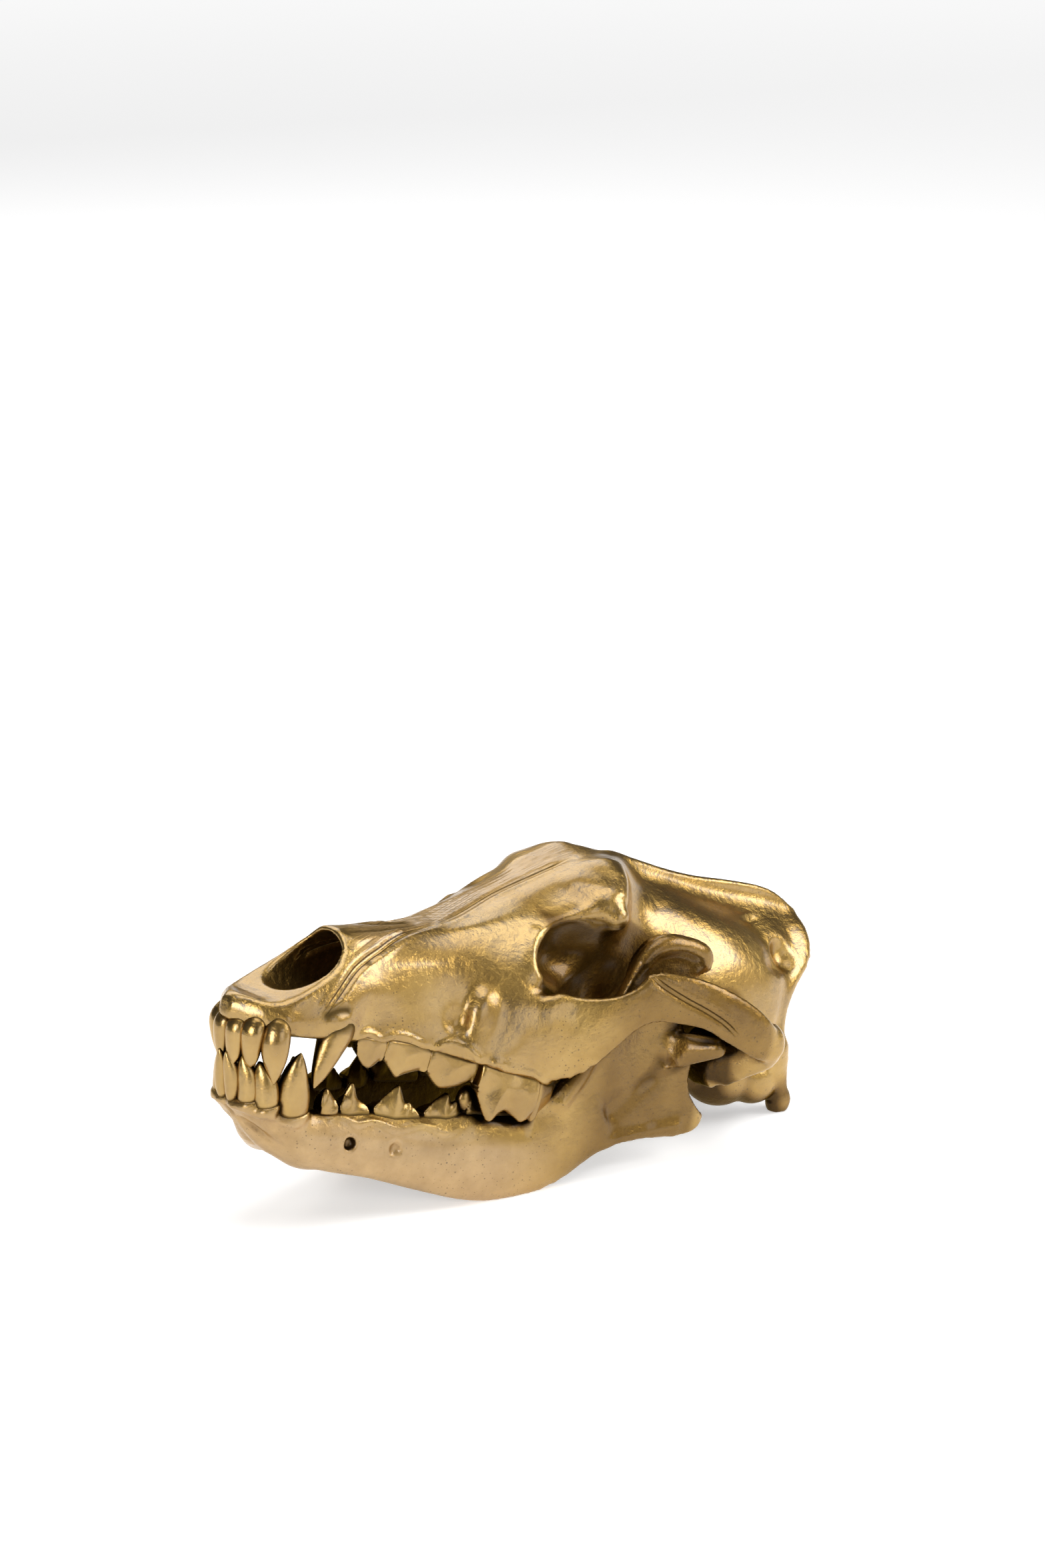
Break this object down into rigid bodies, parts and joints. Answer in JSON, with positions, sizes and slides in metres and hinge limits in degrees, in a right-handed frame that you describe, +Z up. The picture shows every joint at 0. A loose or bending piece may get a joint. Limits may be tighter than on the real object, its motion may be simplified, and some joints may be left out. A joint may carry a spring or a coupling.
{
  "type": "wolf skull",
  "caption": "Wolf skull with a satin brass finish, jaws closed: long snout with a full set of teeth, domed forehead, open cheekbone arches, low crest along the braincase, and a deep lower jaw.",
  "frame": {"origin": "on the resting surface, below the middle of the skull's bounding box", "axes": "Z up, Y along the skull from the nose at -Y to the back of the head at +Y, X to the animal's left"},
  "size_m": [0.1444, 0.2744, 0.1108],
  "materials": {
    "bone": "satin cast brass with fine pits, darker in the hollows",
    "tooth": "smooth satin brass"
  },
  "bodies": {
    "root": {"cranium": "bone", "lower_jaw": "bone", "upper_incisor_1_left": "tooth", "upper_incisor_1_right": "tooth", "upper_incisor_2_left": "tooth", "upper_incisor_2_right": "tooth", "upper_incisor_3_left": "tooth", "upper_incisor_3_right": "tooth", "upper_canine_left": "tooth", "upper_canine_right": "tooth", "upper_premolar_1_left": "tooth", "upper_premolar_1_right": "tooth", "upper_premolar_2_left": "tooth", "upper_premolar_2_right": "tooth", "upper_premolar_3_left": "tooth", "upper_premolar_3_right": "tooth", "upper_premolar_4_left": "tooth", "upper_premolar_4_right": "tooth", "upper_molar_1_left": "tooth", "upper_molar_1_right": "tooth", "upper_molar_2_left": "tooth", "upper_molar_2_right": "tooth", "lower_incisor_1_left": "tooth", "lower_incisor_1_right": "tooth", "lower_incisor_2_left": "tooth", "lower_incisor_2_right": "tooth", "lower_incisor_3_left": "tooth", "lower_incisor_3_right": "tooth", "lower_canine_left": "tooth", "lower_canine_right": "tooth", "lower_premolar_1_left": "tooth", "lower_premolar_1_right": "tooth", "lower_premolar_2_left": "tooth", "lower_premolar_2_right": "tooth", "lower_premolar_3_left": "tooth", "lower_premolar_3_right": "tooth", "lower_premolar_4_left": "tooth", "lower_premolar_4_right": "tooth", "lower_molar_1_left": "tooth", "lower_molar_1_right": "tooth", "lower_molar_2_left": "tooth", "lower_molar_2_right": "tooth", "lower_molar_3_left": "tooth", "lower_molar_3_right": "tooth"}
  },
  "joints": []
}
